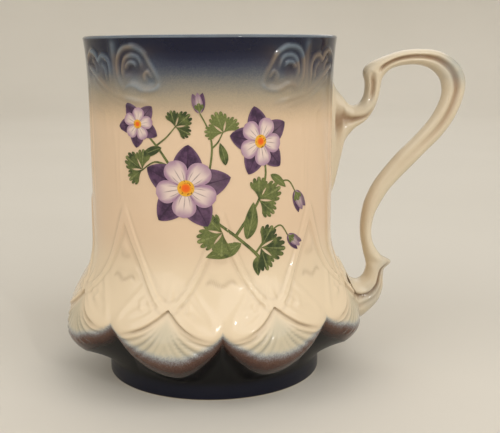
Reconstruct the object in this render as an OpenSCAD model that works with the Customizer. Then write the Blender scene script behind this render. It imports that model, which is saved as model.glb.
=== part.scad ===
// Moustache cup: a ribbed, scalloped porcelain body on a foot ring, a scrolled
// handle luted to its side, and a moustache guard luted inside its mouth.
// The origin is the centre of the foot's resting plane, with the handle
// towards +X and the decorated front towards -Y.

/* [Body] */
// Height from the foot's resting plane to the rim
body_h = 100; // [88:1:120]
// Outer radius at the rim
mouth_r = 37; // [34:0.5:44]
// How far the straight wall stands in from the rim
waist_in = 1.2; // [0.4:0.1:3]
// Height at which the wall starts to swell
waist_z = 44; // [40:0.5:50]
// How far the belly swells beyond the straight wall, where the lobes start
belly_out = 7.2; // [5:0.2:10]
// Height of the notches between the lobes
cusp_z = 20; // [17:0.5:24]
// Thickness of the wall
wall = 3; // [2.4:0.1:4]
// Thickness of the floor over the foot recess
floor_t = 3.2; // [2.6:0.1:5]
// Width of the rounded edge of the rim
lip_w = 0.9; // [0.6:0.1:1.1]

/* [Foot] */
// Outer radius of the foot ring
foot_r = 32.1; // [29:0.1:35]
// Height of the foot ring's upright face
foot_h = 4.8; // [3:0.1:6.4]
// Width of the face that the foot ring rests on
foot_w = 3.6; // [2.6:0.1:5]
// Depth of the recess inside the foot ring
recess_h = 3.2; // [1:0.1:4]

/* [Lobes] */
// Number of shell lobes round the belly
lobe_n = 8; // [6:1:10]
// How far a lobe's middle swells beyond the notches
lobe_bulge = 2.2; // [1:0.1:3]
// Height of a lobe's lowest point
lobe_low_z = 10; // [8:0.5:13]
// Height at which the edge of a lobe starts to roll under
lobe_roll_h = 6; // [3:0.1:7]
// How far that edge rolls in
lobe_roll = 4; // [1:0.1:4.4]

/* [Moulded ribs] */
// Height at which the crossing ribs meet, over the middle of a lobe
cross_z = 28.5; // [26:0.5:32]
// Height of the tip of the pointed gussets
gusset_z = 53; // [48:0.5:60]
// Height of a rib over the wall
rib_h = 0.8; // [0.4:0.1:1.2]
// Half the width of a rib
rib_w = 1.3; // [0.9:0.1:2]
// Step from the swags down to the lobes below them
swag_step = 0.6; // [0.3:0.1:1]
// Height of the middle of the scrolls below the rim
scroll_drop = 9; // [8:0.5:14]
// Length of a scroll along the wall
scroll_l = 15; // [10:0.5:16]
// Height of a scroll
scroll_h = 10; // [7:0.5:11]

/* [Handle] */
// Reach of the handle from the straight wall
handle_reach = 41.3; // [34:0.5:50]
// Depth of the handle's top below the rim
handle_top_drop = 4; // [2:0.5:10]
// Height of the lowest point of the handle
handle_foot_z = 9; // [7:0.5:12]
// Width of the handle across its plain bar
handle_w = 6.4; // [5:0.2:8]
// Clearance of the handle's seats, filled by the luting slip
handle_seat_gap = 0.2; // [0.1:0.05:0.3]

/* [Moustache guard] */
// Depth of the guard's upper face below the rim
guard_drop = 7.5; // [6:0.5:12]
// Thickness of the guard
guard_t = 2.8; // [2:0.1:4]
// Reach of the guard from the wall to the tip of its inner edge
guard_reach = 23; // [20:0.5:28]
// Depth of the drinking slot from the wall
slot_depth = 9; // [7:0.5:11]
// Width of the drinking slot along the wall
slot_w = 29; // [24:0.5:34]
// Radius of the two scallops of the inner edge
scallop_r = 15; // [12:0.5:18]
// Depth of the two scallops
scallop_depth = 6.5; // [4:0.5:8]
// Clearance of the guard's edge, filled by the luting slip
guard_seat_gap = 0.1; // [0.05:0.05:0.2]

/* [Hidden] */

$fn = 96;
overrun = 5;
glaze = "ivory";

waist_r = mouth_r - waist_in;
belly_r = waist_r + belly_out;

// Powers of the curves of the wall: flare, swell to the belly, underside, lobes
flare_power = 8;
belly_power = 1.4;
under_power = 1.6;
lobe_power = 0.8;
// Powers of the scalloped edge, of the swags' lower border and of the gussets' ribs
edge_power = 1.9;
swag_power = 2.2;
gusset_power = 1.6;

lobe_angle = 360 / lobe_n;

// The lobes stand in pairs. Each leans to the middle of its pair by a share of its
// width, and the ribs that cross above it lean less.
lobe_lean_share = 0.11;
cross_lean_share = 0.045;
// In the notches the edge rolls in less than at the lobes' tips
notch_roll_share = 0.4;

// A gusset's rib is narrower than rib_w and broadens down its slope towards a notch
gusset_rib_share = 0.7;
rib_slope_gain = 2;
// The swags fall away from their rib over several times its width
swag_spread_share = 4;

// Four tall panels, with a pair of scrolls at each line between two of them.
// The upper ornament stands turned a little against the lobes.
panel_angle = 90;
upper_turn = -3;
ornament_mid_z = (cross_z + gusset_z) / 2;
scroll_z = body_h - scroll_drop;
scroll_mid_share = 0.85;
scroll_mid_angle = scroll_l * scroll_mid_share / mouth_r * 180 / PI;
scroll_ring_share = 0.24;

// Where the handle sits the wall is left smooth for a good joint, in degrees
handle_bare_angle = 13;
handle_bare_fade = 4;

function clamp01(t) = min(1, max(0, t));
function smooth(t) = let (u = clamp01(t)) u * u * (3 - 2 * u);
function mix(a, b, t) = a + (b - a) * t;
function bump(d, w) = exp(-pow(d / w, 2));

// Share of the way from a notch to the tip of a lobe that leans by a share of its width
function tip_share(a, lean) =
    let (
        lobes = (a % 360 + 360) % 360 / lobe_angle,
        across = lobes - floor(lobes),
        tip = (1 + (floor(lobes) % 2 == 0 ? -2 : 2) * lean) / 2
    )
    across < tip ? across / tip : (1 - across) / (1 - tip);
function lobe_share(a) = tip_share(a, lobe_lean_share);
function cross_share(a) = tip_share(a, cross_lean_share);

// Height of a lobe's lower edge, and of the swag border above the lobe
function edge_z(a) = mix(lobe_low_z, cusp_z, pow(1 - lobe_share(a), edge_power));
function border_z(a) = cusp_z + rib_h + (cross_z - cusp_z - rib_h) * pow(cross_share(a), swag_power);
// Height of the rib that climbs from the crossing to a gusset's tip
function gusset_rib_z(a) = mix(cross_z, gusset_z, pow(1 - cross_share(a), gusset_power));

// Radius of the round wall, without lobes or ribs
function wall_r(z) =
    z >= waist_z
    ? waist_r + (mouth_r - waist_r) * pow(clamp01((z - waist_z) / (body_h - waist_z)), flare_power)
    : mix(waist_r, belly_r, smooth(pow(clamp01((waist_z - z) / (waist_z - cusp_z)), belly_power)));

// Radius of the lobed wall above the lobes' lower edge
function lobe_r(a, z) =
    let (
        swell = pow(sin(90 * lobe_share(a)), lobe_power),
        low = smooth((cross_z - z) / (cross_z - cusp_z + lobe_roll_h)),
        rise = clamp01((z - edge_z(a)) / lobe_roll_h),
        roll = lobe_roll * mix(notch_roll_share, 1, swell)
    )
    wall_r(z) + lobe_bulge * swell * low - roll * pow(1 - rise, 2);

// Radius of the underside, from the foot ring out to the lobes' lower edge
function under_r(a, z) =
    let (top = edge_z(a), share = clamp01((z - foot_h) / (top - foot_h)))
    foot_r + (lobe_r(a, top) - foot_r) * pow(share, under_power);

// Relief of the ribs, swags and scrolls over the wall
function rib_relief(a, z) =
    let (
        border = border_z(a),
        gusset = rib_h * bump(z - gusset_rib_z(a), rib_w * gusset_rib_share * rib_slope(a))
            * smooth((gusset_z + rib_w - z) / rib_w),
        swag = z > border
            ? swag_step * bump(z - border, rib_w * swag_spread_share) + rib_h * bump(z - border, rib_w)
            : 0
    )
    max(gusset, swag);
function scroll_relief(a, z) =
    let (
        turned = a - upper_turn - panel_angle / 2,
        m = (turned % panel_angle + panel_angle) % panel_angle,
        along = min(m, panel_angle - m),
        x = (along - scroll_mid_angle) * PI / 180 * mouth_r / (scroll_l / 2),
        y = (z - scroll_z) / (scroll_h / 2),
        ring = norm([x, y]) - 1 + scroll_ring_share,
        line = bump(along * PI / 180 * mouth_r, rib_w)
            * smooth((z - gusset_z) / rib_w) * smooth((scroll_z - z) / rib_w)
    )
    rib_h * max(bump(ring, scroll_ring_share), line / 2);
function relief(a, z) =
    let (
        turn = abs((a % 360 + 540) % 360 - 180),
        bare = smooth((turn - handle_bare_angle) / handle_bare_fade)
    )
    bare * (z > ornament_mid_z ? max(rib_relief(a, z), scroll_relief(a, z)) : rib_relief(a, z));

// Radius of the finished outside at an angle and a height
function skin_r(a, z) =
    z <= foot_h ? foot_r
    : z < edge_z(a) ? under_r(a, z)
    : z < border_z(a) - rib_h ? lobe_r(a, z)
    : lobe_r(a, z) + relief(a, z);

// Rows of the outside, from the foot to the rim. Each row below the gussets' tips
// follows the edge or the rib that it lies on, so those stay crisp.
column_n = 16 * lobe_n;
row_gap = rib_h / 3;
gusset_top_z = gusset_z + 2 * rib_w;
under_shares = [0, 0.15, 0.35, 0.56, 0.78];
lobe_band_shares = [0, 0.07, 0.15, 0.27, 0.48, 0.72, 0.93];
swag_band_shares = [0, 0.28, 0.6];
rib_offsets = [-rib_w, 0, rib_w];
panel_foot_shares = [0.2, 0.45, 0.72, 1];
upper_shares = [0.35, 0.6, 0.66, 0.71, 0.75, 0.79, 0.83, 0.87, 0.91, 0.95];
lip_shares = [[0, 1], [0.3, 0.3], [1, 0]];
function rib_slope(a) = 1 + rib_slope_gain * pow(1 - cross_share(a), 2);
function rib_row_z(a, i) = gusset_rib_z(a) + rib_offsets[i] * rib_slope(a);
function gusset_rows(a) = concat(
    [for (s = swag_band_shares) mix(border_z(a), rib_row_z(a, 0), s)],
    [for (i = [0 : 2]) rib_row_z(a, i)],
    [for (s = panel_foot_shares) mix(rib_row_z(a, 2), gusset_top_z, s)]
);
gusset_row_n = len(swag_band_shares) + len(rib_offsets) + len(panel_foot_shares);
// Keeps the rows of a column in order where two ribs meet
function gusset_row_z(a, i) =
    max(border_z(a) + i * row_gap, min(gusset_rows(a)[i], gusset_top_z - (gusset_row_n - 1 - i) * row_gap));
function ring_at(z_of) = [for (i = [0 : column_n - 1]) let (a = 360 * i / column_n, z = z_of(a))
    [skin_r(a, z) * cos(a), skin_r(a, z) * sin(a), z]];
function round_ring(r, z) = [for (i = [0 : column_n - 1]) let (a = 360 * i / column_n)
    [r * cos(a), r * sin(a), z]];
function outside_rings() = concat(
    [round_ring(foot_r, 0)],
    [for (s = under_shares) ring_at(function (a) mix(foot_h, edge_z(a), s))],
    [for (s = lobe_band_shares) ring_at(function (a) mix(edge_z(a), border_z(a) - rib_h, s))],
    [for (i = [0 : gusset_row_n - 1]) ring_at(function (a) gusset_row_z(a, i))],
    [for (s = upper_shares) ring_at(function (a) mix(gusset_top_z, body_h, s))],
    [for (s = lip_shares) round_ring(mouth_r - lip_w * s[0], body_h - lip_w * s[1])]
);

// A closed solid through rings of equal length, listed from bottom to top
module loft(rings) {
    n = len(rings[0]);
    points = [for (r = rings) each r];
    last = (len(rings) - 1) * n;
    sides = [for (k = [0 : len(rings) - 2], i = [0 : n - 1])
        let (p = k * n + i, q = k * n + (i + 1) % n)
        each [[p, p + n, q + n], [p, q + n, q]]];
    bottom = [for (i = [0 : n - 1]) i];
    top = [for (i = [n - 1 : -1 : 0]) last + i];
    polyhedron(points, concat([bottom], sides, [top]), convexity = 10);
}

// The inside follows the outside's notches at the wall's thickness, rounds into the
// floor, and is straight where the guard is seated
inside_floor_z = recess_h + floor_t;
seat_r = waist_r - wall;
inside_n = 20;
function inside_r(z) =
    min(wall_r(z), under_r(0, z)) - wall * (1 + pow(1 - clamp01((z - inside_floor_z) / wall / 2), 2));
module inside() {
    rise = [for (i = [0 : inside_n]) let (z = mix(inside_floor_z, waist_z, i / inside_n))
        [inside_r(z), z]];
    lip_r = mouth_r - lip_w - wall / 2;
    lip = [for (t = [0 : 30 : 90])
        [mix(lip_r, seat_r, cos(t)), body_h - wall * (1 - sin(t))]];
    rotate_extrude()
        polygon(concat([[0, inside_floor_z]], rise, lip,
            [[lip_r, body_h + overrun], [0, body_h + overrun]]));
}

module foot_recess() {
    r = foot_r - foot_w;
    cove = [for (t = [0 : 15 : 90]) [r - recess_h * (1 - cos(t)), recess_h * sin(t)]];
    rotate_extrude()
        polygon(concat([[0, -overrun], [r, -overrun]], cove, [[0, recess_h]]));
}

// The body with its foot, cast in one
module cup_body() {
    color(glaze)
        difference() {
            loft(outside_rings());
            inside();
            foot_recess();
        }
}

// Pairs of points across the handle from its upper seat to its lower one: the outer
// edge and the inner edge, as shares of reach and rise, then width and channel depth
handle_rise = body_h - handle_top_drop - handle_foot_z;
handle_pair_shares = [
    [0.045, 0.858, 0.065, 0.563, 1.15, 0.1],
    [0.092, 0.839, 0.092, 0.621, 1.1, 0.2],
    [0.126, 0.818, 0.111, 0.685, 1.05, 0.3],
    [0.169, 0.810, 0.174, 0.726, 1, 0.35],
    [0.218, 0.821, 0.262, 0.756, 1, 0.35],
    [0.247, 0.848, 0.324, 0.798, 1, 0.25],
    [0.252, 0.885, 0.358, 0.846, 1, 0.3],
    [0.237, 0.924, 0.373, 0.890, 1.05, 0.3],
    [0.276, 0.952, 0.397, 0.913, 1.05, 0.1],
    [0.368, 0.972, 0.446, 0.933, 1.05, 0.3],
    [0.513, 0.994, 0.528, 0.944, 1.05, 0.4],
    [0.659, 1.000, 0.634, 0.946, 1.05, 0.4],
    [0.804, 0.991, 0.731, 0.933, 1.05, 0.4],
    [0.925, 0.957, 0.804, 0.901, 1.05, 0.4],
    [0.993, 0.908, 0.828, 0.861, 1.02, 0.4],
    [0.995, 0.848, 0.819, 0.828, 1, 0.35],
    [0.935, 0.769, 0.785, 0.790, 1, 0.3],
    [0.838, 0.701, 0.729, 0.749, 0.98, 0.2],
    [0.722, 0.646, 0.625, 0.695, 0.96, 0.15],
    [0.625, 0.599, 0.518, 0.646, 0.95, 0.1],
    [0.518, 0.548, 0.416, 0.591, 0.95, 0.1],
    [0.438, 0.505, 0.334, 0.539, 0.95, 0.1],
    [0.373, 0.455, 0.276, 0.483, 0.95, 0.1],
    [0.341, 0.422, 0.249, 0.437, 0.95, 0.1],
    [0.322, 0.379, 0.237, 0.383, 0.95, 0.1],
    [0.324, 0.345, 0.242, 0.340, 0.95, 0.1],
    [0.344, 0.313, 0.254, 0.310, 0.98, 0.1],
    [0.397, 0.276, 0.266, 0.283, 1, 0.15],
    [0.475, 0.251, 0.281, 0.257, 1, 0.25],
    [0.426, 0.225, 0.288, 0.239, 1.1, 0.3],
    [0.416, 0.195, 0.283, 0.221, 1.2, 0.3],
    [0.416, 0.156, 0.262, 0.200, 1.35, 0.3],
    [0.383, 0.110, 0.218, 0.187, 1.5, 0.25],
    [0.310, 0.071, 0.169, 0.193, 1.65, 0.2],
    [0.237, 0.045, 0.131, 0.209, 1.75, 0.1],
    [0.174, 0.040, 0.097, 0.237, 1.8, 0]
];
handle_steps = 2;
handle_side_n = 20;
// Half the width of the side channels, as a share of half the bar
channel_share = 0.45;
// Sizes of the inner rings that close each seat, as shares of the seat's outline, and
// how deep they would lie if the wall didn't stop them
seat_shares = [0.9, 0.6, 0.25];
seat_sink = 2.8 * wall;

// A smooth curve through a table's rows, at a whole or part row number
function curve_row(table, t) =
    let (
        n = len(table) - 1,
        i = min(n - 1, floor(t)),
        u = t - i,
        p0 = table[max(0, i - 1)],
        p1 = table[i],
        p2 = table[i + 1],
        p3 = table[min(n, i + 2)]
    )
    p1 + (p2 - p0) * (u / 2) + (2 * p0 - 5 * p1 + 4 * p2 - p3) * (u * u / 2)
        + (3 * p1 - p0 - 3 * p2 + p3) * (u * u * u / 2);

// Moves a point out of the body's wall, to the clearance of the seat
function off_wall(p) =
    let (r = norm([p.x, p.y]), a = atan2(p.y, p.x), least = skin_r(a, p.z) + handle_seat_gap)
    r >= least ? p : [p.x * least / r, p.y * least / r, p.z];

// One ring across the handle: an oval with a channel along each side
function handle_ring(row, size, sink) =
    let (
        outer = [waist_r + row[0] * handle_reach, handle_foot_z + row[1] * handle_rise],
        inner = [waist_r + row[2] * handle_reach, handle_foot_z + row[3] * handle_rise],
        middle = (outer + inner) / 2 - [sink, 0],
        across = (outer - inner) / 2 * size,
        half_w = handle_w / 2 * row[4] * size
    )
    [for (i = [0 : handle_side_n - 1])
        let (
            t = 360 * i / handle_side_n,
            channel = 1 - row[5] * bump(cos(t), channel_share),
            p = middle + across * cos(t)
        )
        off_wall([p.x, half_w * sin(t) * channel, p.y])];

module handle() {
    last = len(handle_pair_shares) - 1;
    first_row = handle_pair_shares[0];
    last_row = handle_pair_shares[last];
    rings = concat(
        [for (k = [len(seat_shares) - 1 : -1 : 0]) handle_ring(first_row, seat_shares[k], seat_sink)],
        [for (i = [0 : handle_steps * last]) handle_ring(curve_row(handle_pair_shares, i / handle_steps), 1, 0)],
        [for (s = seat_shares) handle_ring(last_row, s, seat_sink)]
    );
    color(glaze) loft(rings);
}

// The guard: a bridge across the drinker's side of the mouth, with a half-moon
// slot for drinking along the wall and a scalloped inner edge
module moustache_guard() {
    r = seat_r - guard_seat_gap;
    top_z = body_h - guard_drop;
    tip_y = guard_reach - r;
    // Circle through the slot's deepest point and its two ends on the wall
    slot_end_y = -sqrt(r * r - slot_w * slot_w / 4);
    slot_sag = slot_depth - r - slot_end_y;
    slot_r = (slot_w * slot_w / 4 + slot_sag * slot_sag) / (2 * slot_sag);
    slot_y = slot_depth - r - slot_r;
    scallop_x = sqrt(scallop_depth * (2 * scallop_r - scallop_depth));
    color(glaze)
        translate([0, 0, top_z - guard_t])
            difference() {
                cylinder(r = r, h = guard_t);
                translate([-2 * r, tip_y, -overrun])
                    cube([4 * r, 2 * r, guard_t + 2 * overrun]);
                for (side = [-1, 1])
                    translate([side * scallop_x, tip_y + scallop_r - scallop_depth, -overrun])
                        cylinder(r = scallop_r, h = guard_t + 2 * overrun);
                translate([0, slot_y, -overrun])
                    cylinder(r = slot_r, h = guard_t + 2 * overrun);
            }
}

cup_body();
handle();
moustache_guard();
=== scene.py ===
import math

import bmesh
import bpy
import numpy as np
from mathutils import Matrix, Vector


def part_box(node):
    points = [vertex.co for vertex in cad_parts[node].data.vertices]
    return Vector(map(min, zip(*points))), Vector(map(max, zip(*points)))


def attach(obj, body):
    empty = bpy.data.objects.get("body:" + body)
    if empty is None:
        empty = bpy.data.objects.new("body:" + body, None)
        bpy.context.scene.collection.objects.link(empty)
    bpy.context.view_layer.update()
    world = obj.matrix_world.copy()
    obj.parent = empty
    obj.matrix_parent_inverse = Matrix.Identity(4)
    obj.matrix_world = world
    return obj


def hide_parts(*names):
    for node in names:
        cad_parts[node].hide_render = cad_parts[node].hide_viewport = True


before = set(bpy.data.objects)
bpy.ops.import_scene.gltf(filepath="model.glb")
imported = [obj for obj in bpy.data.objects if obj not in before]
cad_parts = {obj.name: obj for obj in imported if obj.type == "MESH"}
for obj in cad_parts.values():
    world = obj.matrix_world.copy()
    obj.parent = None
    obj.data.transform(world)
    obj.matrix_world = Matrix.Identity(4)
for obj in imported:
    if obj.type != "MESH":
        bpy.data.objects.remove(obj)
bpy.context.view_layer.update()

# The cup's body with its foot: one slip casting of porcelain, fired with a clear
# gloss glaze over cobalt that was sprayed round the rim and under the belly, and
# wiped off the raised ornament before firing.
MM = 0.001
body_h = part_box("cup_body")[1].z / MM
mouth_r = 37.0
waist_r = 35.8
waist_z = 44.0
belly_r = 43.0
cusp_z = 20.0
wall = 3.0
floor_z = 6.4
lip_w = 0.9
flare_power = 8.0
belly_power = 1.4

foot_r = 32.1
foot_h = 4.8
foot_w = 3.6
foot_round = 0.6
recess_h = 3.2
under_power = 1.6

lobe_n = 8
lobe_angle = 360.0 / lobe_n
lobe_bulge = 2.2
lobe_low_z = 10.0
lobe_roll_h = 6.0
lobe_roll = 4.0
notch_roll_share = 0.4
lobe_lean_share = 0.11
lobe_power = 0.8
cross_lean_share = 0.045
edge_power = 1.9
swag_power = 2.2
swag_lift = 0.8

cross_z = 28.5
gusset_z = 53.0
gusset_top = gusset_z + 3.0
gusset_r = 39.0
gusset_power = 1.6
rib_slope_gain = 2.0
panel_half = 45.0
upper_turn = -3.0
handle_bare_angle = 9.0
handle_bare_fade = 4.0

columns = 520


def smooth(t):
    t = np.clip(t, 0.0, 1.0)
    return t * t * (3.0 - 2.0 * t)


def mix(a, b, t):
    return a + (b - a) * t


def bump(d, w):
    return np.exp(-((d / w) ** 2))


def across_lobe(a):
    """Share of the way across a lobe, and +1 or -1 for the side to which it leans."""
    lobes = np.mod(a, 360) / lobe_angle
    return lobes - np.floor(lobes), np.where(np.floor(lobes) % 2 == 0, -1.0, 1.0)


def tip_share(a, lean):
    """0 in a notch and 1 at the tip of a lobe that leans by a share of its width."""
    across, side = across_lobe(a)
    tip = 0.5 + side * lean
    return np.where(across < tip, across / tip, (1 - across) / (1 - tip))


def lobe_share(a):
    return tip_share(a, lobe_lean_share)


def cross_share(a):
    return tip_share(a, cross_lean_share)


def edge_height(a):
    return mix(lobe_low_z, cusp_z, (1 - lobe_share(a)) ** edge_power)


def border_height(a):
    return mix(cusp_z + swag_lift, cross_z, cross_share(a) ** swag_power)


def gusset_rib_height(a):
    return mix(cross_z, gusset_z, (1 - cross_share(a)) ** gusset_power)


def rib_slope(a):
    return 1 + rib_slope_gain * (1 - cross_share(a)) ** 2


def wall_radius(z):
    flare = mix(waist_r, mouth_r, np.clip((z - waist_z) / (body_h - waist_z), 0, 1) ** flare_power)
    swell = smooth(np.clip((waist_z - z) / (waist_z - cusp_z), 0, 1) ** belly_power)
    return np.where(z >= waist_z, flare, mix(waist_r, belly_r, swell))


def lobe_radius(a, z):
    swell = np.sin(math.pi / 2 * lobe_share(a)) ** lobe_power
    low = smooth((cross_z - z) / (cross_z - cusp_z + lobe_roll_h))
    rise = np.clip((z - edge_height(a)) / lobe_roll_h, 0, 1)
    roll = lobe_roll * mix(notch_roll_share, 1.0, swell)
    return wall_radius(z) + lobe_bulge * swell * low - roll * (1 - rise) ** 2


def under_radius(a, z):
    top = edge_height(a)
    share = np.clip((z - foot_h) / (top - foot_h), 0, 1)
    return foot_r + (lobe_radius(a, top) - foot_r) * share**under_power


def curve_at(table, t):
    """A smooth curve (Catmull-Rom) through the rows of a table, at row numbers t."""
    p = np.array(table, float)
    i = np.clip(np.floor(t).astype(int), 0, len(p) - 2)
    u = (t - i)[:, None]
    p0, p1, p2, p3 = p[np.maximum(i - 1, 0)], p[i], p[i + 1], p[np.minimum(i + 2, len(p) - 1)]
    return (
        p1
        + (p2 - p0) * (u / 2)
        + (2 * p0 - 5 * p1 + 4 * p2 - p3) * (u * u / 2)
        + (3 * p1 - p0 - 3 * p2 + p3) * (u**3 / 2)
    )


def curve_points(points, steps=6):
    """Points along a smooth curve through given ones."""
    return curve_at(points, np.arange(steps * (len(points) - 1) + 1) / steps)


def distance_to(points, x, z):
    """Distance in mm from each (x, z) to a curve, and the share of the way along it."""
    line = curve_points(points)
    best = np.full(x.shape, 1e3)
    along = np.zeros(x.shape)
    for i, (p, q) in enumerate(zip(line[:-1], line[1:])):
        d = q - p
        t = np.clip(((x - p[0]) * d[0] + (z - p[1]) * d[1]) / (d @ d + 1e-9), 0, 1)
        gap = np.hypot(x - p[0] - t * d[0], z - p[1] - t * d[1])
        nearer = gap < best
        best = np.where(nearer, gap, best)
        along = np.where(nearer, (i + t) / (len(line) - 1), along)
    return best, along


# Moulded lines of one gusset: x in mm from the notch line along the wall, z in mm,
# then each line's height (a groove if negative) and half-width
gusset_lines = [
    ([(8.8, 34.6), (8.0, 33.2), (6.8, 31.6), (5.2, 29.6), (3.0, 26.6), (1.4, 23.2)], 0.336, 0.8),
    ([(0.0, 34.2), (1.0, 34.5), (2.2, 35.2), (3.4, 35.3), (4.4, 34.5)], -0.208, 0.5),
    ([(0.0, 37.4), (1.8, 37.6), (3.6, 37.6), (5.4, 36.6), (6.8, 34.8)], 0.16, 0.9),
    ([(12.2, 26.6), (11.6, 29.2), (10.0, 30.4), (8.6, 29.6), (8.8, 28.2), (10.0, 28.0)], 0.256, 0.65),
    ([(6.2, 40.4), (7.6, 38.2), (9.2, 35.8), (10.6, 33.4)], 0.096, 0.6),
]
# A bud stands over them, with a crease under it
bud_z = 42.9
bud_half = 1.9
bud_h = 0.5
bud_crease = [(0.0, 40.4), (1.2, 40.7), (2.2, 41.6)]
# Scroll lines beside a panel line, in degrees from it: inward on the front and back
# panels, outward (negative) on the side panels
scroll_lines = [
    ([(23.5, 87.8), (21.8, 90.0), (19.5, 92.5), (17.0, 95.0), (13.0, 96.7), (9.0, 97.0), (5.2, 96.2),
      (2.6, 94.0), (2.0, 91.0), (3.0, 88.0), (5.0, 86.0)], 0.55, 0.5),
    ([(23.5, 87.8), (22.0, 86.4), (19.0, 85.7), (15.0, 85.8), (11.5, 86.8), (8.0, 87.0),
      (5.5, 85.9)], 0.5, 0.5),
    ([(15.5, 91.5), (14.0, 94.0), (10.0, 94.8), (6.6, 93.8), (5.0, 91.2), (5.4, 88.8)], 0.4, 0.45),
    ([(12.5, 92.0), (11.0, 92.9), (8.4, 92.8), (6.4, 91.2)], 0.4, 0.4),
    ([(20.0, 89.2), (18.0, 90.6), (16.2, 89.6), (17.0, 88.4)], 0.4, 0.4),
    ([(-2.6, 86.0), (-3.0, 89.0), (-3.2, 92.2), (-5.4, 94.2), (-9.0, 94.6), (-12.0, 93.4), (-14.0, 95.0),
      (-18.0, 95.8), (-23.0, 94.4), (-27.0, 92.3)], 0.55, 0.5),
    ([(-6.0, 88.2), (-7.0, 91.2), (-9.5, 92.6)], 0.35, 0.4),
    ([(-14.0, 90.2), (-15.2, 92.4), (-18.5, 93.6)], 0.35, 0.4),
    ([(17.0, 82.4), (10.0, 83.1), (2.0, 84.0), (-3.0, 85.3), (-10.0, 87.8), (-17.0, 90.2),
      (-24.0, 91.6)], 0.4, 0.5),
    ([(15.0, 80.8), (4.0, 82.2), (-4.0, 83.7), (-12.0, 86.2), (-20.0, 89.0)], 0.25, 0.4),
    ([(1.2, 56.0), (1.2, 70.0), (3.6, 76.0), (8.6, 79.4), (15.0, 80.8)], 0.2, 0.4),
    ([(-1.2, 56.0), (-1.2, 70.0), (-3.6, 76.0), (-8.6, 79.4), (-15.0, 80.8)], 0.2, 0.4),
    ([(-25.0, 56.0), (-25.0, 88.0)], 0.25, 0.6),
    ([(-29.0, 56.0), (-29.0, 88.0)], 0.25, 0.6),
    ([(0.0, 84.5), (0.0, 99.0)], 0.3, 0.9),
]
# Where the cloth also thinned the cobalt between the ridges: middle, half-extents in
# degrees and mm, share
wiped_clouds = [
    (12.0, 87.6, 11.0, 3.4, 0.5),
    (14.0, 93.0, 9.0, 4.0, 0.25),
    (-12.0, 90.0, 11.0, 4.5, 0.35),
    (0.0, 93.0, 3.2, 7.0, 0.35),
]
# Hollows of the scrolls: middle, half-extents in degrees and mm, depth
scroll_hollows = [
    (10.0, 91.2, 6.0, 2.2, 0.55),
    (19.0, 88.4, 3.0, 1.6, 0.3),
    (-7.0, 90.2, 3.0, 2.6, 0.4),
    (-19.5, 91.8, 5.0, 2.4, 0.6),
]
# Ribs and swags are flat ribbons: half-widths, then the bevel, thickness, raised line
# and groove of an edge
rib_half = 1.4
swag_half = 1.3
bevel_w = 0.8
ribbon_h = 0.36
edge_line_h = 0.14
edge_groove = 0.1
# A swag starts low in a notch. Over its ribbon it falls away, with two ridges on each
# side: place, half-width, height
swag_start = 0.3
swag_rise = 0.35
swag_fade = 4.0
swag_ridges = [(4.2, 0.7, 0.3), (6.2, 0.6, 0.16)]


def ribbon(gap, half_width):
    """A flat ribbon with a raised line along each edge, on both sides of gap = 0."""
    flat = smooth((half_width - gap) / bevel_w) * ribbon_h
    edge_line = edge_line_h * bump(gap - half_width * 0.7, 0.4)
    return flat + edge_line - edge_groove * bump(gap - half_width - 0.35, 0.5)


# Shell folds of a lobe, in degrees round the crossing: turn per mm outwards, first
# line, step, where they grow faint and end, over what turn, and how faint
fold_bend = 1.85
first_fold = 54.0
fold_step = 10.5
fade_fold = 84.0
last_fold = 112.0
fade_turn = 14.0
end_turn = 10.0
faint_fold = 0.35
# Then in mm: their depth, where they start and how fast they deepen, from the crossing and
# from the lobe's edge
fold_depth = 0.4
fold_swell = 0.25
fold_start = 4.0
fold_grow = 6.0
fold_edge_gap = 1.4
fold_edge_grow = 2.6
# Depth of the line under a swag, then how dark the creases are, from pooled glaze and
# painted shade, there, beside a rib, in a gusset's grooves, under its bud and in a fold
swag_line_h = 0.3
swag_shade = 0.9
rib_shade = 0.26
groove_shade = 0.6
bud_shade = 0.3
fold_shade = 0.75


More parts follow.
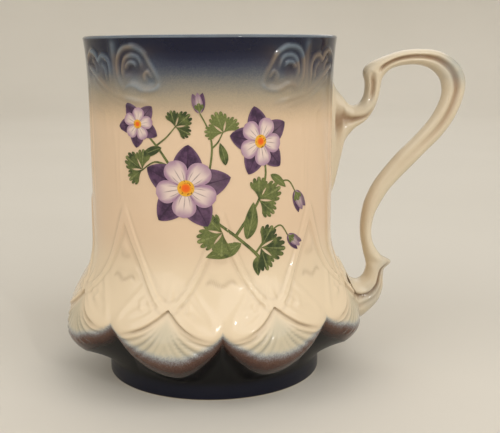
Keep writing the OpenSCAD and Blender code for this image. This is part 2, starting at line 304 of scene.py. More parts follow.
def lower_ornament(a, z):
    """Relief in mm of swags, gussets and shell folds, and creases of pooled glaze and painted shade."""
    share = cross_share(a)
    across, side = across_lobe(a)
    degree = math.pi / 180
    x = np.minimum(across, 1 - across) * lobe_angle * degree * gusset_r
    inside = smooth((gusset_z + 2 - z) / 2)
    rib = np.abs(z - gusset_rib_height(a)) / rib_slope(a)
    lift = z - border_height(a)
    flow = 1 + 0.5 * share
    above = smooth((lift + 0.3) / 0.6)
    height = ribbon(rib, rib_half) * inside * above
    # Pooled glaze and painted shade darken the crease beside a rib
    crease = rib_shade * bump(rib - rib_half - 0.4, 0.5) * inside * above
    # A swag is a ribbon along its lower border and falls away above it
    step = mix(swag_start, 1.0, smooth(share / 0.8))
    roll = ribbon(np.abs(lift / flow - swag_half), swag_half) * above * step
    height = np.maximum(height, roll)
    past = np.clip(lift - 2 * swag_half * flow, 0, None)
    height += above * step * swag_rise * np.exp(-past / swag_fade)
    wing = smooth((share - 0.2) / 0.3) * smooth((0.95 - share) / 0.2)
    for place, wide, tall in swag_ridges:
        height += tall * bump(lift / flow - place, wide) * wing * above
    for points, tall, wide in gusset_lines:
        gap, along = distance_to(points, x, z)
        ends = smooth((1 - along) / 0.2) * (smooth(along / 0.2) if points[0][0] > 0 else 1)
        line = bump(gap, wide) * ends * above
        height += tall * line
        if tall < 0:
            crease += groove_shade * line
    height += bud_h * bump(np.hypot(x, (z - bud_z) * 1.1), bud_half)
    gap, along = distance_to(bud_crease, x, z)
    crease += bud_shade * bump(gap, 0.6) * smooth((1 - along) / 0.4)
    # Folds of a shell start at the crossing and bend towards the notches
    from_mid = np.abs(across - 0.5 - side * cross_lean_share) * lobe_angle * degree * belly_r
    drop = cross_z - z
    reach = np.hypot(from_mid, drop)
    fan = np.degrees(np.arctan2(drop, from_mid)) + fold_bend * reach
    phase = (fan - first_fold) / fold_step
    wave = np.cos(phase * 2 * math.pi)
    groove = np.clip(wave, 0, 1)
    deep = smooth((reach - fold_start) / fold_grow)
    deep *= smooth((z - edge_height(a) - fold_edge_gap) / fold_edge_grow)
    deep *= mix(1.0, faint_fold, smooth((fan - fade_fold) / fade_turn))
    deep *= smooth((last_fold - fan) / end_turn)
    under = 1 - above
    height -= under * (groove - fold_swell * np.clip(-wave, 0, 1)) * deep * fold_depth
    crease += under * groove * deep * fold_shade
    # The lobe starts in a deep line under the swag, darkened with painted shade
    shadow_line = bump(lift + 0.4, 0.5) * (1 - smooth((reach - 6) / 12) * 0.7)
    height -= swag_line_h * shadow_line * under
    crease += swag_shade * shadow_line
    return height, np.clip(crease, 0, 1)


def upper_ornament(a, z):
    """Relief in mm of the scrolls under the rim, and the ridges that were wiped."""
    t = np.radians(a - upper_turn)
    s = panel_half - np.degrees(np.arccos(np.clip(np.abs(np.sin(t)), 0, 1)))
    x = s * math.pi / 180 * mouth_r
    height = np.zeros(a.shape)
    wiped = np.zeros(a.shape)
    for points, tall, wide in scroll_lines:
        gap, along = distance_to([(p * math.pi / 180 * mouth_r, q) for p, q in points], x, z)
        ends = mix(0.35, 1.0, smooth(along / 0.15) * smooth((1 - along) / 0.15))
        ridge = bump(gap, wide * 1.3) * ends
        height = np.maximum(height, tall * ridge)
        wiped = np.maximum(wiped, min(1.0, tall / 0.45) * ridge)
    for s0, z0, ds, dz, deep in scroll_hollows:
        hollow = deep * bump(np.hypot((s - s0) / ds, (z - z0) / dz), 1.0)
        height -= hollow * (1 - np.clip(height / 0.3, 0, 1))
    for s0, z0, ds, dz, share in wiped_clouds:
        wiped = np.maximum(wiped, share * bump(np.hypot((s - s0) / ds, (z - z0) / dz), 1.0))
    return height, wiped


def relief(a, z):
    """Relief in mm, and the share of crease with painted shade (below) or of wiped ridge (above)."""
    turn = np.abs(np.mod(a + 180, 360) - 180)
    bare = smooth((turn - handle_bare_angle) / handle_bare_fade)
    height = np.zeros(a.shape)
    mark = np.zeros(a.shape)
    low = z < gusset_top
    height[low], mark[low] = lower_ornament(a[low], z[low])
    height[low] *= bare[low]
    height[~low], mark[~low] = upper_ornament(a[~low], z[~low])
    return height, mark


def skin_radius(a, z):
    """Radius in mm of the finished outside at angles a (degrees) and heights z (mm)."""
    a, z = np.broadcast_arrays(np.asarray(a, float), np.asarray(z, float))
    above = lobe_radius(a, z) + relief(a, z)[0]
    return np.where(z <= foot_h, foot_r, np.where(z < edge_height(a), under_radius(a, z), above))


def between(low, high, shares):
    """Rows of the outside that lie at shares of the way between two edges."""
    return [lambda a, s=s: (None, mix(low(a), high(a), s)) for s in shares]


def level(z):
    return lambda a: np.full(a.shape, z)


def ring(r, z):
    return lambda a: (np.full(a.shape, r), np.full(a.shape, z))


def arc_rings(r0, z0, radius, start, end, count):
    angles = np.radians(np.linspace(start, end, count))
    return [ring(r0 + radius * math.cos(t), z0 + radius * math.sin(t)) for t in angles]


def inside_radius(z):
    corner = 1 - min(1.0, max(0.0, (z - floor_z) / (2 * wall)))
    outside_r = min(float(wall_radius(np.array(z))), float(under_radius(np.array(0.0), np.array(z))))
    return outside_r - wall * (1 + corner**2)


recess_r = foot_r - foot_w
seat_r = waist_r - wall
lip_r = mouth_r - lip_w - wall / 2
plain_top = 79.0
rib_band = 2.0
# Rows from the middle of the recess, round the foot ring, up the outside, over the lip
# and down the inside to the middle of the floor
under_shares = np.append(np.linspace(0, 1, 12)[:-1], 0.975)
lobe_shares = np.append([0, 0.015], np.linspace(0.04, 1, 25))
gusset_shares = np.interp(np.linspace(0, 1, 42)[:-1], [0.0, 0.24, 0.82, 1.0], [0.0, 0.36, 0.82, 1.0])
rows = [ring(0.0, recess_h), ring(recess_r - recess_h - 1.0, recess_h)]
rows += arc_rings(recess_r - recess_h, 0.0, recess_h, 90, 12, 7)
rows += arc_rings(recess_r + foot_round, foot_round, foot_round, 180, 270, 4)
rows += arc_rings(foot_r - foot_round, foot_round, foot_round, 270, 360, 5)
rows += [ring(foot_r, foot_h * 0.6)]
rows += between(level(foot_h), edge_height, under_shares)
rows += between(edge_height, lambda a: border_height(a) - 0.35, lobe_shares)
rows += between(border_height, lambda a: gusset_rib_height(a) - rib_band - 0.2, gusset_shares)
for d in np.linspace(-rib_band, rib_band, 11):
    rows.append(lambda a, d=d: (None, gusset_rib_height(a) + d * rib_slope(a)))
rows += between(lambda a: gusset_rib_height(a) + rib_band + 0.4, level(gusset_top), np.linspace(0, 1, 12))
rows += between(level(gusset_top), level(plain_top), np.linspace(0, 1, 6)[1:-1])
rows += between(level(plain_top), level(body_h - lip_w), np.linspace(0, 1, 44))
rows += arc_rings(mouth_r - lip_w, body_h - lip_w, lip_w, 15, 90, 5)
lip_turns = np.radians(np.linspace(90, 0, 6))
rows += [ring(mix(lip_r, seat_r, math.cos(t)), body_h - wall * (1 - math.sin(t))) for t in lip_turns]
rows += [ring(seat_r, z) for z in np.linspace(body_h - wall, waist_z, 3)[1:]]
rows += [ring(inside_radius(z), z) for z in mix(waist_z, floor_z, np.linspace(0, 1, 10)[1:] ** 0.8)]
rows += [ring(inside_radius(floor_z) - 2, floor_z - 0.02), ring(0.0, floor_z)]


def settle(z_rows):
    """Keeps the rows of every column in order where two ribs meet."""
    least = 0.02
    for i in range(1, len(z_rows)):
        z_rows[i] = np.maximum(z_rows[i], z_rows[i - 1] + least)
    return z_rows


def placed(name, data):
    made = bpy.data.objects.new(name, data)
    bpy.context.scene.collection.objects.link(made)
    return made


def new_object(name, bm):
    mesh = bpy.data.meshes.new(name)
    bm.to_mesh(mesh)
    bm.free()
    mesh.shade_smooth()
    return placed(name, mesh)


def points_of(made):
    co = np.empty(len(made.data.vertices) * 3)
    made.data.vertices.foreach_get("co", co)
    return co.reshape(-1, 3)


def add_layer(made, name, values):
    layer = made.data.attributes.new(name, "FLOAT", "POINT")
    layer.data.foreach_set("value", values.astype(np.float32))


def in_metres(r, a, z):
    """Points in metres at radii r (mm), angles a (degrees) and heights z (mm)."""
    return np.stack([r * np.cos(np.radians(a)), r * np.sin(np.radians(a)), z], -1) * MM


def turned(profile, steps):
    """A surface made by turning a chain of (x, z) points once round the z axis."""
    bm = bmesh.new()
    chain = [bm.verts.new((x, 0.0, z)) for x, z in profile]
    edges = [bm.edges.new(pair) for pair in zip(chain[:-1], chain[1:])]
    bmesh.ops.spin(bm, geom=chain + edges, cent=(0, 0, 0), axis=(0, 0, 1), angle=2 * math.pi,
                   steps=steps, use_merge=True)
    bmesh.ops.remove_doubles(bm, verts=bm.verts[:], dist=1e-5)
    return bm


# A drum with one ring of points for each row, closed at both poles, takes the skin's form
bm = turned([(0.0 if k in (0, len(rows) - 1) else 1.0, k) for k in range(len(rows))], columns)
bmesh.ops.recalc_face_normals(bm, faces=bm.faces[:])
body = new_object("porcelain_body", bm)

drum = points_of(body)
row_of = np.rint(drum[:, 2]).astype(int)
a_all = np.degrees(np.arctan2(drum[:, 1], drum[:, 0]))
column_angles, column_of = np.unique(np.round(a_all, 3), return_inverse=True)
grid = [row(column_angles) for row in rows]
skin_rows = [k for k, (r, z) in enumerate(grid) if r is None]
z_grid = np.array([z for r, z in grid])
z_grid[skin_rows] = settle(z_grid[skin_rows])
r_grid = np.array([np.zeros(len(column_angles)) if r is None else r for r, z in grid])
r_grid[skin_rows] = skin_radius(column_angles[None, :], z_grid[skin_rows])
r_all = r_grid[row_of, column_of]
z_all = z_grid[row_of, column_of]
body.data.vertices.foreach_set("co", in_metres(r_all, a_all, z_all).ravel())
body.data.update()

# Cobalt is thick at the rim and under the belly and thins to nothing down the wall.
# Ridges of the scrolls were wiped, and a brown-black spray fringes the lobes; its brown
# and the near black under the belly are partly painted shade and warm reflected light.
haze_foot = 70.0
haze_top = 96.0
haze_power = 1.9
lip_cobalt = 0.62
lip_wiped_and_highlight = 0.7
inside_cobalt = 0.12
inside_haze_foot = 92.0
# Spray along the edge in a notch and at a tip of a lobe, its heights there, its fall, and
# the height over which painted shade darkens it on the under side
notch_spray = 0.6
tip_spray = 0.88
notch_spray_h = 4.6
tip_spray_h = 7.0
spray_fall = 0.66
under_side_shade_h = 7.0
spray_top = 30.0
celadon_fade = 5.0

outside = np.isin(row_of, skin_rows)
height, mark = (values * outside for values in relief(a_all, z_all))
high = z_all >= gusset_top
rim = np.clip((z_all - haze_foot) / (haze_top - haze_foot), 0, 1) ** haze_power
gathered = np.clip(-height / 0.4, 0, 1) * high
cobalt = np.clip(rim * (1 + 0.25 * gathered), 0, 1)
# The lip is lighter and bluer: thinner cobalt at the edge and a painted highlight
on_lip = (row_of > max(skin_rows)) & (z_all > body_h - lip_w - 0.05)
cobalt[on_lip] = lip_cobalt
inner = row_of > max(skin_rows) + 5
cobalt[inner] = inside_cobalt * smooth((z_all[inner] - inside_haze_foot) / (body_h - inside_haze_foot))
cobalt[~high] = 0.0
wiped = np.where(on_lip, lip_wiped_and_highlight, mark) * high * smooth((rim - 0.1) / 0.35)
over_edge = z_all - edge_height(a_all)
share = lobe_share(a_all)
spray_t = over_edge / mix(notch_spray_h, tip_spray_h, share)
at_edge = mix(notch_spray, tip_spray, smooth(share / 0.5))
spray = np.clip(at_edge - spray_fall * spray_t, 0, 1) * (z_all < spray_top)
# On the under side the spray turns into painted shade, near black
under_side = ~inner & (row_of < max(skin_rows)) & (z_all < cusp_z) & (over_edge < 0)
spray[under_side] = np.clip(at_edge - over_edge / under_side_shade_h, 0, 1)[under_side]
spray[inner] = 0.0
lobe_tint = smooth((border_height(a_all) - z_all) / celadon_fade) * outside * (z_all < spray_top)
layers = {
    "cobalt": cobalt,
    "wiped": wiped,
    "spray": spray,
    "celadon": lobe_tint,
    "crease": mark * ~high,
    "bare": z_all < foot_round * 0.4,
}
for name, values in layers.items():
    add_layer(body, name, values)


def linear(red, green, blue):
    """A colour given as 0 to 255 screen values, as the shader takes it."""
    screen = [v / 255 for v in (red, green, blue)]
    return tuple(v / 12.92 if v <= 0.04 else ((v + 0.055) / 1.055) ** 2.4 for v in screen) + (1.0,)


class Value:
    """A number in a material: sums and products with it add Math nodes."""

    def __init__(self, tree, socket):
        self.tree, self.socket = tree, socket

    def math(self, operation, *others):
        return node(self.tree, "ShaderNodeMath", {"operation": operation}, [self, *others])

    def __add__(self, other):
        return self.math("ADD", other)

    def __sub__(self, other):
        return self.math("SUBTRACT", other)

    def __mul__(self, other):
        return self.math("MULTIPLY", other)

    def __rsub__(self, other):
        return node(self.tree, "ShaderNodeMath", {"operation": "SUBTRACT"}, [other, self])

    __radd__ = __add__
    __rmul__ = __mul__

    def clamped(self):
        return node(self.tree, "ShaderNodeClamp", {}, [self])


def node(tree, kind, settings, values, output=0):
    """Adds a node: its settings or a ramp's stops first, then its sockets by place or by name."""
    made = tree.nodes.new(kind)
    for name, value in settings.items():
        if name == "stops":
            ramp = made.color_ramp
            while len(ramp.elements) < len(value):
                ramp.elements.new(0.5)
            for element, (at, colour) in zip(ramp.elements, value):
                element.position = at
                element.color = colour
        else:
            setattr(made, name, value)
    pairs = values.items() if isinstance(values, dict) else enumerate(values)
    for key, value in pairs:
        if isinstance(value, Value):
            tree.links.new(value.socket, made.inputs[key])
        elif value is not None:
            made.inputs[key].default_value = value
    return Value(tree, made.outputs[output])


def blend_colours(tree, share, first, second):
    """A Mix node on two colours, whose sockets have no names of their own."""
    return node(tree, "ShaderNodeMix", {"data_type": "RGBA"}, {0: share, 6: first, 7: second}, output=2)


def attribute(tree, name):
    return node(tree, "ShaderNodeAttribute", {"attribute_name": name}, [], output=2)


def noise(tree, scale, detail=3.0, roughness=0.5):
    place = node(tree, "ShaderNodeTexCoord", {}, [], output=3)
    return node(tree, "ShaderNodeTexNoise", {"noise_dimensions": "3D"},
                {"Vector": place, "Scale": scale, "Detail": detail, "Roughness": roughness})


def ease(tree, value, low, high):
    """0 below low, 1 above high, smooth between."""
    return node(tree, "ShaderNodeMapRange", {"interpolation_type": "SMOOTHERSTEP"},
                {"Value": value, "From Min": low, "From Max": high, "To Min": 0.0, "To Max": 1.0})


def new_material(name, roughness):
    made = bpy.data.materials.new(name)
    made.use_nodes = True
    shader = made.node_tree.nodes["Principled BSDF"]
    shader.inputs["Roughness"].default_value = roughness
    return made, made.node_tree, shader


cream = linear(213, 187, 158)
cream_deep = linear(200, 170, 141)
cream_pale = linear(216, 197, 168)
celadon_tint = linear(186, 176, 152)
crease_shade_brown = linear(138, 116, 94)
crease_shade_grey = linear(98, 104, 104)
cobalt_stops = [
    (0.0, cream), (0.107, linear(200, 175, 145)), (0.23, linear(170, 152, 128)),
    (0.31, linear(156, 143, 121)), (0.4, linear(134, 126, 112)), (0.5, linear(112, 109, 103)),
    (0.61, linear(80, 83, 89)), (0.73, linear(52, 56, 72)), (0.86, linear(24, 28, 50)),
    (1.0, linear(5, 9, 36)),
]
wiped_blue = linear(118, 130, 140)
wiped_tan = linear(142, 126, 108)
spray_and_shade_stops = [
    (0.0, celadon_tint), (0.12, linear(164, 168, 160)), (0.24, linear(144, 148, 148)),
    (0.36, linear(108, 98, 96)), (0.46, linear(90, 66, 56)), (0.62, linear(70, 45, 36)),
    (0.8, linear(42, 27, 22)), (0.93, linear(12, 9, 9)), (1.0, linear(5, 4, 6)),
]
foot_navy = linear(10, 13, 30)
bisque = linear(212, 200, 180)
pale_top = 52.0
pale_fade = 20.0
navy_top = 6.0
navy_fade = 3.0
tan_gap = 1.5
tan_fade = 2.0


def glaze_colour(tree, light=cream, deep=cream_deep):
    """Cream porcelain under clear glaze, warmer and duller in patches."""
    patches = noise(tree, 60.0, 2.0)
    fine = noise(tree, 900.0, 2.0)
    share = (patches - 0.45) * 0.5 + (fine - 0.5) * 0.12
    return blend_colours(tree, share.clamped(), light, deep)


glaze_ior = 1.37
ripple_share = 0.03


def new_glaze(name, roughness=0.12):
    """A clear gloss glaze with the faint ripple of dipping."""
    glaze, tree, shader = new_material(name, roughness)
    shader.inputs["IOR"].default_value = glaze_ior
    ripple = noise(tree, 240.0, 2.0) + noise(tree, 1100.0, 2.0) * 0.25
    normal = node(tree, "ShaderNodeBump", {}, {"Strength": ripple_share, "Distance": MM, "Height": ripple})
    tree.links.new(normal.socket, shader.inputs["Normal"])
    return glaze, tree, shader


body_glaze, tree, shader = new_glaze("glazed_porcelain_with_cobalt")
grain = noise(tree, 2400.0, 2.0, 0.7) - 0.5
cloud = noise(tree, 120.0, 3.0) - 0.5
place = node(tree, "ShaderNodeTexCoord", {}, [], output=3)
up = node(tree, "ShaderNodeSeparateXYZ", {}, [place], output=2)
colour = glaze_colour(tree)
lower_part = ease(tree, pale_top * MM - up, 0.0, pale_fade * MM)
colour = blend_colours(tree, lower_part, colour, cream_pale)
colour = blend_colours(tree, attribute(tree, "celadon") * 0.85, colour, celadon_tint)
# Creases get pooled glaze and painted shade: brown, greyer on the lobes
pooled_glaze_and_shade = blend_colours(tree, attribute(tree, "celadon"), crease_shade_brown, crease_shade_grey)
colour = blend_colours(tree, attribute(tree, "crease") * 0.55, colour, pooled_glaze_and_shade)
amount = attribute(tree, "cobalt")
sprayed = (amount + (grain * 0.5 + cloud * 0.25) * amount * (1.15 - amount)).clamped()
ramp = node(tree, "ShaderNodeValToRGB", {"stops": cobalt_stops}, [sprayed])
colour = blend_colours(tree, ease(tree, sprayed, 0.0, 0.16), colour, ramp)
under_lip = ease(tree, (body_h - tan_gap) * MM - up, 0.0, tan_fade * MM)
tan_share = ease(tree, noise(tree, 90.0, 1.0), 0.42, 0.6) * under_lip
wiped_tint = blend_colours(tree, tan_share, wiped_blue, wiped_tan)
colour = blend_colours(tree, attribute(tree, "wiped") * (cloud * 1.2 + 0.6), colour, wiped_tint)
# Brown-black spray on the lobes' edges, partly painted shade and warm reflected light
amount = attribute(tree, "spray")
sprayed = (amount + (grain * 0.9 + cloud * 0.5) * amount * (1.2 - amount)).clamped()
ramp = node(tree, "ShaderNodeValToRGB", {"stops": spray_and_shade_stops}, [sprayed])
colour = blend_colours(tree, ease(tree, sprayed, 0.06, 0.34), colour, ramp)
foot_share = ease(tree, navy_top * MM - up, 0.0, navy_fade * MM) * attribute(tree, "spray")
colour = blend_colours(tree, foot_share, colour, foot_navy)
colour = blend_colours(tree, attribute(tree, "bare"), colour, bisque)
tree.links.new(colour.socket, shader.inputs["Base Color"])
rough = attribute(tree, "bare") * 0.6 + ease(tree, attribute(tree, "spray"), 0.5, 1.0) * 0.2 + 0.11
tree.links.new(rough.socket, shader.inputs["Roughness"])
body.data.materials.append(body_glaze)
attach(body, "root")
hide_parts("cup_body")

# The print on the front: enamel colours laid over the glaze in thin coats and fired
# on. Blooms, buds and leaves of a columbine climb up one stem.
print_middle = -93.0
coat = 0.25
coat_step = 0.007
stem_lift = 0.09
leaf_lift = 0.11
sepal_lift = 0.14
petal_lift = 0.18
eye_lift = 0.22
over_lift = 0.02


def on_wall(x, z, lift):
    """Places in metres over the outside: x in mm along the wall, right of the print's middle."""
    a = print_middle + np.degrees(x / waist_r)
    return in_metres(skin_radius(a, z) + lift, a, z)


def blade(x0, z0, turn, start, length, half, fullness, tip, bend=0.0):
    """A petal or narrow leaf that leaves (x0, z0) at an angle; a larger tip is a sharper one."""
    c, s = math.cos(math.radians(turn)), math.sin(math.radians(turn))

    def shape(along, across):
        width = half * np.sin(math.pi * np.clip(along, 0, 1) ** fullness) ** tip
        u = start + (length - start) * along
        v = across * width + bend * along**2
        return x0 + u * c - v * s, z0 + u * s + v * c

    return shape


def fan(x0, z0, turn, length, spread, teeth):
    """A leaflet that widens like a fan and has rounded teeth along its outer edge."""

    def shape(along, across):
        t = np.radians(turn + spread * across * mix(0.45, 1.0, along))
        tooth = 0.2 * np.sqrt(np.abs(np.sin(teeth * math.pi / 2 * (across + 1))))
        r = length * (0.8 + tooth * along) * (1 - 0.22 * across**2) * along
        return x0 + r * np.cos(t), z0 + r * np.sin(t)

    return shape


def disc(x0, z0, radius):
    def shape(along, across):
        t = across * math.pi
        return x0 + radius * along * np.cos(t), z0 + radius * along * np.sin(t)

    return shape


def strand(points, wide):
    """A stem along a curve, thinner towards its end."""
    line = curve_points(points)
    run = np.gradient(line, axis=0)
    side = np.stack([-run[:, 1], run[:, 0]], 1) / np.hypot(run[:, 0], run[:, 1])[:, None]
    at = np.linspace(0, 1, len(line))

    def shape(along, across):
        middle = [np.interp(along, at, line[:, k]) for k in (0, 1)]
        off = [np.interp(along, at, side[:, k]) * across * wide * (1 - 0.5 * along) for k in (0, 1)]
        return middle[0] + off[0], middle[1] + off[1]

    return shape


def squashed(shape, x0, z0, wide, tall):
    """The same shape seen a little from the side."""

    def seen(along, across):
        x, z = shape(along, across)
        return x0 + (x - x0) * wide, z0 + (z - z0) * tall

    return seen


enamel_layers = ("along", "across", "tone")


def enamel_mesh():
    bm = bmesh.new()
    for name in enamel_layers:
        bm.verts.layers.float.new(name)
    return bm


def lay(bm, shape, lift, tone, steps):
    """Lays one coat of enamel: steps count its parts across and along."""
    made = bmesh.ops.create_grid(bm, x_segments=steps[0], y_segments=steps[1], size=1.0)["verts"]
    layers = [bm.verts.layers.float[name] for name in enamel_layers]
    across = np.array([v.co.x for v in made])
    along = np.array([v.co.y for v in made]) / 2 + 0.5
    x, z = shape(along, across)
    for vertex, where, a, b in zip(made, on_wall(x, z, lift), along, across):
        vertex.co = where
        for layer, value in zip(layers, (a, b, tone)):
            vertex[layer] = value


def finish_enamel(name, bm, colour_of, roughness=0.16):
    """Gives the coats their thickness, down into the glaze, and their colour."""
    bmesh.ops.remove_doubles(bm, verts=bm.verts[:], dist=1e-6)
    bm.normal_update()
    for face in bm.faces:
        middle = face.calc_center_median()
        if face.normal.x * middle.x + face.normal.y * middle.y < 0:
            face.normal_flip()
    bm.normal_update()
    bmesh.ops.solidify(bm, geom=bm.faces[:], thickness=coat * MM)
    made = new_object(name, bm)
    made.data.set_sharp_from_angle(angle=math.radians(50))
    glaze, tree, shader = new_glaze(name + "_enamel", roughness)
    tree.links.new(colour_of(tree).socket, shader.inputs["Base Color"])
    made.data.materials.append(glaze)
    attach(made, "root")


# Blooms: place, radius, turn, and how far each is seen from the side
blooms = [
    (-7.0, 60.5, 12.2, 84.0, 1.0, 0.94),
    (13.0, 72.5, 9.4, 100.0, 0.9, 1.0),
    (-20.5, 77.0, 7.2, 118.0, 0.92, 0.88),
]
# Buds: place, direction, length
buds = [(24.0, 58.5, -62.0, 6.4), (21.5, 46.5, -40.0, 5.4), (-3.0, 80.0, 96.0, 5.4)]
# Trefoil leaves: place, direction, size, tone
trefoils = [
    (13.0, 44.0, -8.0, 7.8, 0.2), (2.5, 48.5, 200.0, 7.2, 0.8), (12.5, 57.0, 24.0, 7.2, 0.5),
    (-19.5, 65.0, 150.0, 6.4, 0.4), (3.0, 75.0, 110.0, 5.8, 0.9), (-9.5, 76.5, 40.0, 5.2, 0.1),
]
# Narrow leaves: place, direction, length, half-width, bend, tone
slips = [
    (12.0, 41.5, -100.0, 5.0, 1.2, 0.8, 0.3), (7.5, 45.5, -152.0, 10.0, 1.9, -1.4, 0.7),
    (9.0, 46.5, 70.0, 10.0, 1.9, 1.5, 0.5), (-13.5, 71.0, 196.0, 7.0, 1.2, 0.9, 0.2),
    (16.0, 63.5, -30.0, 6.0, 1.1, -0.8, 0.8), (3.5, 66.5, 96.0, 6.0, 1.1, 0.8, 0.3),
]
# Stems: points from the root end outwards, half-width
stems = [
    ([(13.5, 39.5), (11.5, 42.5), (6.0, 47.5), (1.0, 51.5), (-3.5, 56.0), (-7.0, 60.5)], 0.5),
    ([(-7.0, 60.5), (-11.0, 66.0), (-15.0, 71.5), (-20.5, 77.0)], 0.42),
    ([(6.0, 47.5), (9.5, 52.5), (12.5, 57.0), (14.5, 64.0), (13.0, 72.5)], 0.42),
    ([(12.5, 57.0), (17.0, 60.5), (21.5, 61.5), (24.0, 58.5)], 0.3),
    ([(11.5, 42.5), (15.5, 47.5), (19.0, 49.5), (21.5, 46.5)], 0.3),
    ([(-3.5, 56.0), (-1.0, 64.0), (0.0, 71.0), (-1.0, 76.0), (-3.0, 80.0)], 0.32),
    ([(-11.0, 66.0), (-15.5, 67.2), (-19.8, 64.6)], 0.3),
    ([(0.0, 71.0), (1.6, 72.6), (3.0, 75.4)], 0.26),
    ([(-15.0, 71.5), (-12.0, 73.8), (-9.3, 76.8)], 0.26),
]

bm = enamel_mesh()
for k, (points, wide) in enumerate(stems):
    lay(bm, strand(points, wide), stem_lift + k * coat_step * 0.5, 0.5, (2, 44))
for k, (x, z, turn, length, half, bend, tone) in enumerate(slips):
    leaf = blade(x, z, turn, 0.0, length, half, 0.85, 0.8, bend)
    lay(bm, leaf, leaf_lift + k * coat_step * 0.5, tone, (6, 18))
for k, (x, z, turn, size, tone) in enumerate(trefoils):
    for j, (lean, share) in enumerate(((-66.0, 0.86), (66.0, 0.86), (0.0, 1.0))):
        leaflet = fan(x, z, turn + lean, size * share, 34.0, 5)
        lay(bm, leaflet, leaf_lift + over_lift + j * coat_step, tone, (30, 12))
for x, z, turn, length in buds:
    lay(bm, fan(x, z, turn, length * 0.5, 40.0, 3), petal_lift + over_lift, 0.6, (18, 8))


def leaf_colour(tree):
    """Greens brushed in strokes, with a paler rib down the middle and finer side veins."""
    along, across, tone = (attribute(tree, name) for name in enamel_layers)
    strokes = noise(tree, 420.0, 3.0, 0.6)
    light = ease(tree, strokes + tone * 0.35, 0.4, 0.85)
    colour = blend_colours(tree, light, linear(48, 60, 32), linear(104, 112, 62))
    off = across.math("ABSOLUTE")
    colour = blend_colours(tree, ease(tree, 0.16 - off, 0.0, 0.14) * 0.6, colour, linear(138, 142, 90))
    vein = (along * 38.0 - off * 14.0).math("SINE")
    colour = blend_colours(tree, ease(tree, vein, 0.55, 1.0) * 0.35, colour, linear(40, 52, 28))
    return blend_colours(tree, ease(tree, off, 0.8, 1.0) * 0.35, colour, linear(120, 124, 74))


finish_enamel("printed_leaves", bm, leaf_colour)

bm = enamel_mesh()
for x, z, radius, turn, wide, tall in blooms:
    for k in range(5):
        bend = radius * 0.04 * (-1) ** k
        petal = blade(x, z, turn + 72 * k, radius * 0.06, radius, radius * 0.33, 0.86, 0.72, bend)
        lay(bm, squashed(petal, x, z, wide, tall), sepal_lift + k * coat_step, 0.06 + 0.05 * k, (12, 20))
    for k in range(5):
        petal = blade(x, z, turn + 36 + 72 * k, radius * 0.08, radius * 0.7, radius * 0.27, 1.35, 0.5)
        lay(bm, squashed(petal, x, z, wide, tall), petal_lift + k * coat_step, 0.82 + 0.04 * k, (12, 16))
for x, z, turn, length in buds:
    for k, lean in enumerate((-14.0, 14.0, 0.0)):
        petal = blade(x, z, turn + lean, 0.0, length, length * 0.2, 0.8, 0.7)
        lay(bm, petal, sepal_lift + k * coat_step, 0.2 + 0.15 * k, (6, 12))


def petal_colour(tree):
    """Dark purple outer petals and pale lilac inner ones, with dark hairs at their base."""
    along, across, tone = (attribute(tree, name) for name in enamel_layers)
    off = across.math("ABSOLUTE")
    strokes = noise(tree, 520.0, 3.0, 0.6)
    dark = blend_colours(tree, ease(tree, strokes, 0.3, 0.75), linear(54, 34, 58), linear(88, 60, 88))
    dark = blend_colours(tree, ease(tree, off, 0.55, 1.0) * 0.45, dark, linear(122, 92, 118))
    edge = ease(tree, off.math("MAXIMUM", along - 0.1), 0.35, 0.95)
    edge = edge * (strokes * 0.6 + 0.55)
    pale = blend_colours(tree, edge, linear(214, 194, 184), linear(148, 112, 140))
    colour = blend_colours(tree, ease(tree, tone, 0.1, 0.85), dark, pale)
    hairs = ease(tree, (across * 13.0).math("COSINE"), 0.62, 0.98)
    hairs = hairs * ease(tree, 0.8 - along - off * 0.35, 0.0, 0.35)
    colour = blend_colours(tree, hairs * (strokes * 0.8 + 0.2) * 0.75, colour, linear(56, 34, 54))
    rib = ease(tree, 0.1 - off, 0.0, 0.09) * ease(tree, 0.6 - tone, 0.0, 0.2)
    return blend_colours(tree, rib * 0.5, colour, linear(40, 24, 44))


finish_enamel("printed_blooms", bm, petal_colour)

bm = enamel_mesh()
for x, z, radius, turn, wide, tall in blooms:
    lay(bm, squashed(disc(x, z, radius * 0.19), x, z, wide, tall), eye_lift, 1.0, (24, 6))


def eye_colour(tree):
    """A yellow eye, orange in its middle, with brown stamen tips round it."""
    along = attribute(tree, "along")
    stops = [
        (0.0, linear(224, 84, 22)), (0.42, linear(224, 104, 22)),
        (0.6, linear(222, 150, 36)), (1.0, linear(212, 168, 60)),
    ]
    yellow = node(tree, "ShaderNodeValToRGB", {"stops": stops}, [along])
    tips = ease(tree, noise(tree, 1700.0, 1.0), 0.56, 0.66) * ease(tree, along, 0.5, 0.7)
    return blend_colours(tree, tips * 0.8, yellow, linear(84, 52, 26))


finish_enamel("printed_eyes", bm, eye_colour)

# The handle: porcelain from its own two-part mould, with a channel down each side,
# a spur, and leaf and shell ends that are luted to the body with slip.
handle_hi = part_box("handle")[1]
handle_reach = handle_hi.x / MM - waist_r
handle_foot_z = 9.0
handle_rise = handle_hi.z / MM - handle_foot_z
handle_w = 6.4
fillet_share = 0.3
fillet_reach = 1.0
handle_sides = 56
handle_steps = 8
